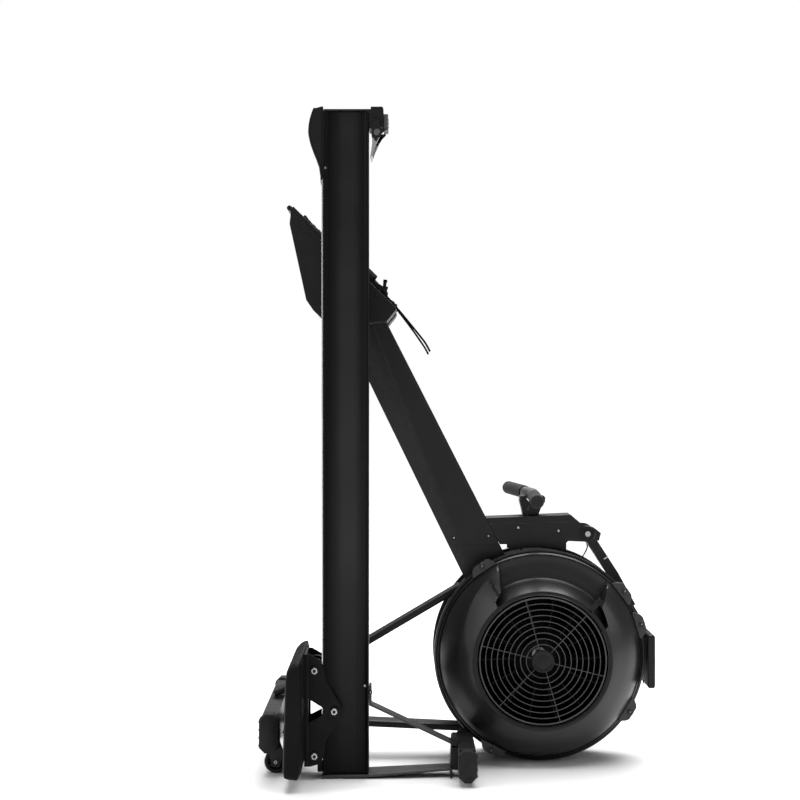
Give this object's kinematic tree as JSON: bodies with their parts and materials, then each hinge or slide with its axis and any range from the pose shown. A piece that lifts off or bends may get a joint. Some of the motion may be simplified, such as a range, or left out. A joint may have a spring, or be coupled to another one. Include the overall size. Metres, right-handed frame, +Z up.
{
  "type": "rowing machine",
  "caption": "Air-resistance rowing machine parted into its flywheel section and its monorail section with sliding seat, both standing upright for storage.",
  "frame": {"origin": "centre of the footprint box, on the floor that the parted machine stands on", "axes": "+Z up, +X from the monorail towards the flywheel housing, +Y away from the monorail section towards the far side of the flywheel"},
  "size_m": [0.8386, 0.636, 1.377],
  "materials": {
    "frame_paint": "black powder coat, fine satin texture",
    "rail_anodised": "black anodised aluminium extrusion, satin",
    "cover_plastic": "black moulded plastic, satin gloss",
    "moulded_plastic": "black moulded plastic, fine grain",
    "wire_guard": "black coated steel wire",
    "rubber": "matt black rubber",
    "grip_foam": "matt black foam sleeve",
    "seat_skin": "matt black moulded foam with a skin",
    "steel": "bright brushed steel",
    "grey_plastic": "light grey moulded plastic",
    "webbing": "black woven webbing",
    "screen_glass": "dark display window",
    "cable_jacket": "black cable jacket"
  },
  "bodies": {
    "front_section": {"main_beam": "frame_paint", "handle_frame": "frame_paint", "handle_hook": "moulded_plastic", "front_leg_upper_strut": "frame_paint", "front_leg_lower_strut": "frame_paint", "front_crossbar": "frame_paint", "cross_tube": "steel", "housing_near_cover": "cover_plastic", "housing_far_cover": "cover_plastic", "housing_band": "frame_paint", "near_grille": "wire_guard", "far_grille": "wire_guard", "flywheel_axle": "steel", "drive_chain": "steel", "arm_pivot_bolt": "steel", "sensor_wire": "cable_jacket", "front_foot_near": "rubber", "front_foot_far": "rubber", "footrest_near": "moulded_plastic", "footrest_far": "moulded_plastic", "foot_strap_near": "webbing", "foot_strap_far": "webbing", "strap_end_near": "webbing", "strap_end_far": "webbing"},
    "flywheel": {"fan_wheel": "frame_paint", "bearing_near": "steel", "bearing_far": "steel", "drive_sprocket": "steel"},
    "damper": {"damper_lever": "moulded_plastic"},
    "arm": {"monitor_arm": "frame_paint"},
    "monitor": {"monitor_case": "moulded_plastic", "monitor_screen": "screen_glass"},
    "menu_key": {"menu_button": "rubber"},
    "select_key": {"select_button": "rubber"},
    "handle": {"handle_bar": "steel", "handle_boss": "grey_plastic", "handle_grip_near": "grip_foam", "handle_grip_far": "grip_foam"},
    "caster_near": {"caster_wheel_near": "rubber"},
    "caster_far": {"caster_wheel_far": "rubber"},
    "heel_near": {"heel_slider_near": "moulded_plastic"},
    "heel_far": {"heel_slider_far": "moulded_plastic"},
    "rail_section": {"monorail": "rail_anodised", "seat_track": "steel", "rail_end_stop": "rubber", "rear_leg_plate": "frame_paint", "rear_leg_brace": "frame_paint", "rear_crossbar": "frame_paint", "rear_foot_near": "rubber", "rear_foot_far": "rubber", "top_guard": "moulded_plastic", "lock_block": "frame_paint", "lock_pad": "grey_plastic"},
    "lock": {"lock_lever": "steel"},
    "seat": {"seat_pad": "seat_skin", "seat_carriage": "frame_paint"},
    "upper_rollers": {"upper_roller_set": "rubber"},
    "lower_rollers": {"lower_roller_set": "rubber"},
    "guide_near": {"guide_roller_near": "rubber"},
    "guide_far": {"guide_roller_far": "rubber"}
  },
  "joints": [
    {"name": "flywheel_spin", "type": "hinge", "parent": "front_section", "child": "flywheel", "pos_m": [0.1707, 0.071, 0.227], "axis": [0, 1, 0], "continuous": true},
    {"name": "damper_turn", "type": "hinge", "parent": "front_section", "child": "damper", "pos_m": [0.1707, 0.071, 0.227], "axis": [0, -1, 0], "range_deg": [0, 60]},
    {"name": "monitor_arm_fold", "type": "hinge", "parent": "front_section", "child": "arm", "pos_m": [0.2787, 0.071, 0.484], "axis": [0, -1, 0], "range_deg": [0, 75]},
    {"name": "monitor_tilt", "type": "hinge", "parent": "arm", "child": "monitor", "pos_m": [0.3897, 0.071, 0.262], "axis": [0, -1, 0], "range_deg": [0, 15]},
    {"name": "menu_press", "type": "slide", "parent": "monitor", "child": "menu_key", "axis": [-1, 0, 0], "range_m": [0, 0.0012], "stiffness_N_per_m": 300},
    {"name": "select_press", "type": "slide", "parent": "monitor", "child": "select_key", "axis": [-1, 0, 0], "range_m": [0, 0.0012], "stiffness_N_per_m": 300},
    {"name": "handle_lift", "type": "slide", "parent": "front_section", "child": "handle", "axis": [0, 0, 1], "range_m": [0, 0.45]},
    {"name": "caster_near_spin", "type": "hinge", "parent": "front_section", "child": "caster_near", "pos_m": [-0.3873, -0.122, 0.024], "axis": [0, 1, 0], "continuous": true},
    {"name": "caster_far_spin", "type": "hinge", "parent": "front_section", "child": "caster_far", "pos_m": [-0.3873, 0.264, 0.024], "axis": [0, 1, 0], "continuous": true},
    {"name": "heel_near_slide", "type": "slide", "parent": "front_section", "child": "heel_near", "axis": [-0.7119, 0, 0.7022], "range_m": [-0.03, 0.045]},
    {"name": "heel_far_slide", "type": "slide", "parent": "front_section", "child": "heel_far", "axis": [-0.7119, 0, 0.7022], "range_m": [-0.03, 0.045]},
    {"name": "rail_section_part", "type": "slide", "parent": "front_section", "child": "rail_section", "axis": [0, -1, 0], "range_m": [0, 0.5]},
    {"name": "lock_lever_swing", "type": "hinge", "parent": "rail_section", "child": "lock", "pos_m": [-0.1783, -0.146, 1.343], "axis": [0, -1, 0], "range_deg": [0, 35]},
    {"name": "seat_slide", "type": "slide", "parent": "rail_section", "child": "seat", "axis": [0, 0, 1], "range_m": [0, 0.64]},
    {"name": "upper_roller_spin", "type": "hinge", "parent": "seat", "child": "upper_rollers", "pos_m": [-0.3038, -0.146, 0.223], "axis": [0, 1, 0], "continuous": true},
    {"name": "lower_roller_spin", "type": "hinge", "parent": "seat", "child": "lower_rollers", "pos_m": [-0.3038, -0.146, 0.049], "axis": [0, 1, 0], "continuous": true},
    {"name": "guide_near_spin", "type": "hinge", "parent": "seat", "child": "guide_near", "pos_m": [-0.2635, -0.146, 0.14], "axis": [0, 1, 0], "continuous": true},
    {"name": "guide_far_spin", "type": "hinge", "parent": "seat", "child": "guide_far", "pos_m": [-0.2635, -0.146, 0.14], "axis": [0, 1, 0], "continuous": true}
  ],
  "couplings": [
    {"joint": "upper_roller_spin", "follows": "seat_slide", "rad_per_m": 73.529},
    {"joint": "lower_roller_spin", "follows": "seat_slide", "rad_per_m": 73.529},
    {"joint": "guide_near_spin", "follows": "seat_slide", "rad_per_m": -81.967},
    {"joint": "guide_far_spin", "follows": "seat_slide", "rad_per_m": -81.967}
  ]
}
